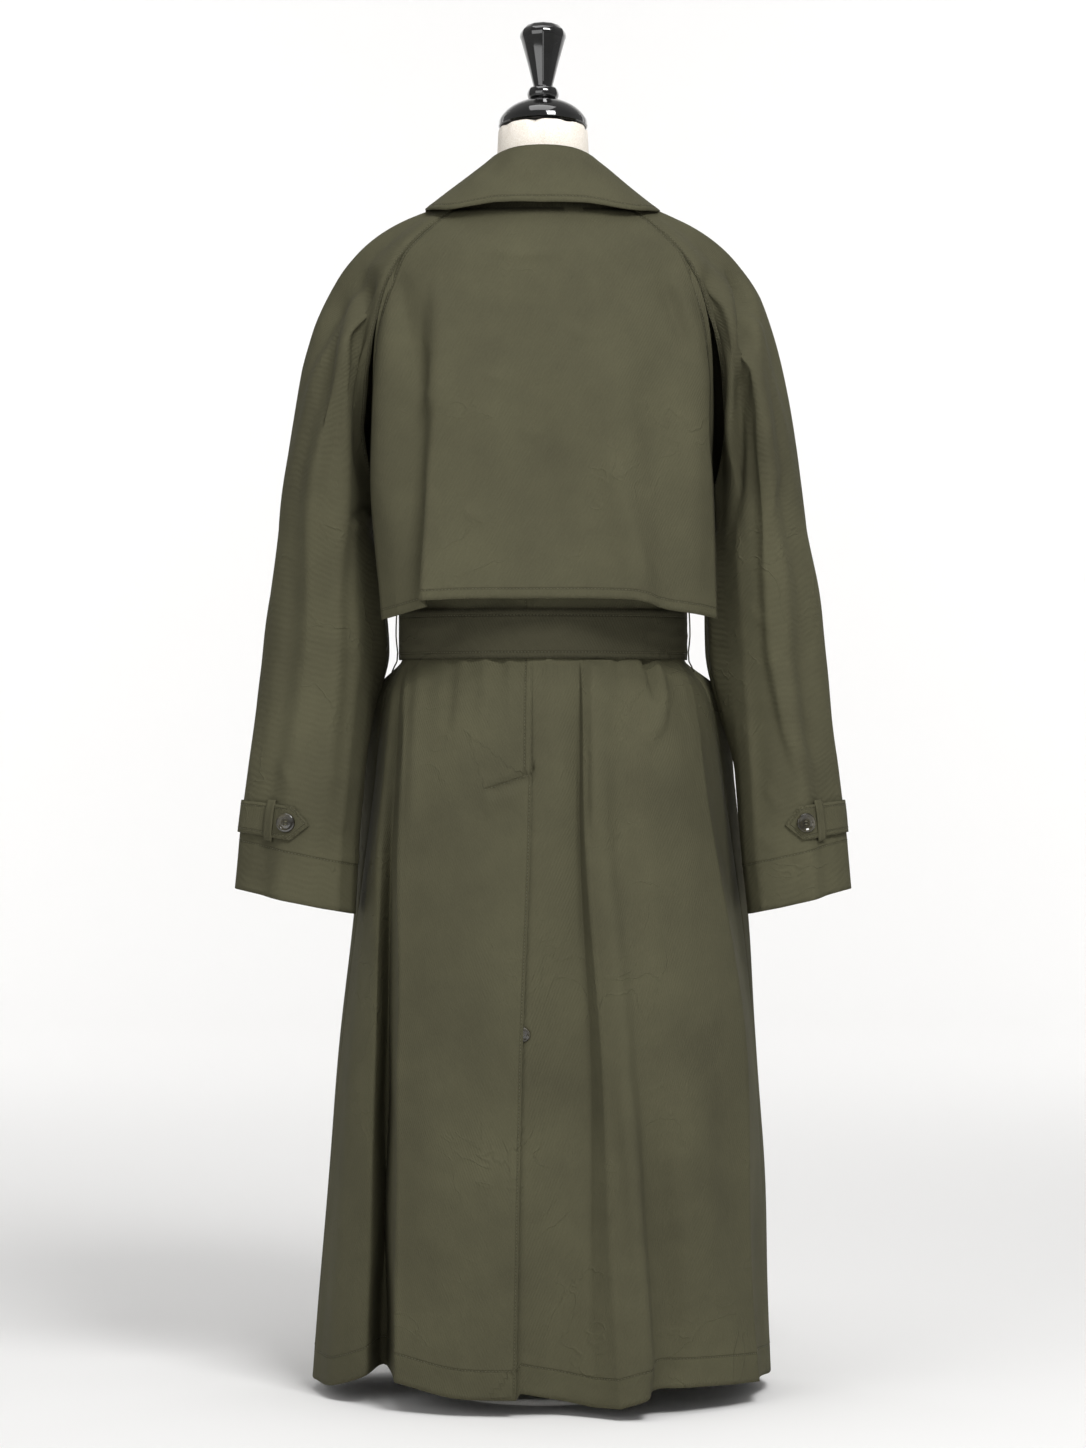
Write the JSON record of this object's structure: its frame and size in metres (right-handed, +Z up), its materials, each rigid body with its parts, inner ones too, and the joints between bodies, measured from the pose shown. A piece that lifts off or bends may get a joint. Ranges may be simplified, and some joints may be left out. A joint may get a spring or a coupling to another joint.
{
  "type": "trench coat on a dress form",
  "caption": "Belted raglan trench coat with a loose storm flap, back vent, buttoned cuff straps and a turned-down collar, worn by a limbless dress form on a low round stand",
  "frame": {"origin": "middle of the flat underside of the round foot, on the floor", "axes": "+Z up, +Y the way the wearer faces (the coat's front), -Y its back, +X the wearer's right"},
  "size_m": [0.6101, 0.3685, 1.3701],
  "materials": {
    "gabardine": "olive cotton gabardine, matt, fine twill",
    "gabardine_belt": "olive cotton gabardine, doubled and topstitched",
    "horn": "dark olive-brown horn-effect resin, polished",
    "linen": "cream linen jersey stretched over the form",
    "lacquer": "turned wood, glossy black lacquer",
    "satin_steel": "satin steel tube",
    "powder_coat": "pale powder-coated cast iron"
  },
  "bodies": {
    "root": {"back_left": "gabardine", "back_right": "gabardine", "front_left": "gabardine", "front_right": "gabardine", "sleeve_left_back": "gabardine", "sleeve_left_front": "gabardine", "sleeve_right_back": "gabardine", "sleeve_right_front": "gabardine", "storm_flap": "gabardine", "collar_fall": "gabardine", "collar_stand": "gabardine", "lapel_left": "gabardine", "lapel_right": "gabardine", "pocket_welt_left": "gabardine", "pocket_welt_right": "gabardine", "cuff_strap_left": "gabardine", "cuff_strap_right": "gabardine", "belt": "gabardine_belt", "belt_loop_left": "gabardine_belt", "belt_loop_right": "gabardine_belt", "strap_keeper_left": "gabardine_belt", "strap_keeper_right": "gabardine_belt", "buckle": "horn", "cuff_button_left": "horn", "cuff_button_right": "horn", "vent_button": "horn", "front_button_1": "horn", "front_button_2": "horn", "front_button_3": "horn", "front_button_4": "horn", "front_button_5": "horn", "front_button_6": "horn", "front_button_7": "horn", "front_button_8": "horn", "form_body": "linen", "neck_cap": "lacquer", "finial": "lacquer", "pole": "satin_steel", "foot": "powder_coat"}
  },
  "joints": []
}
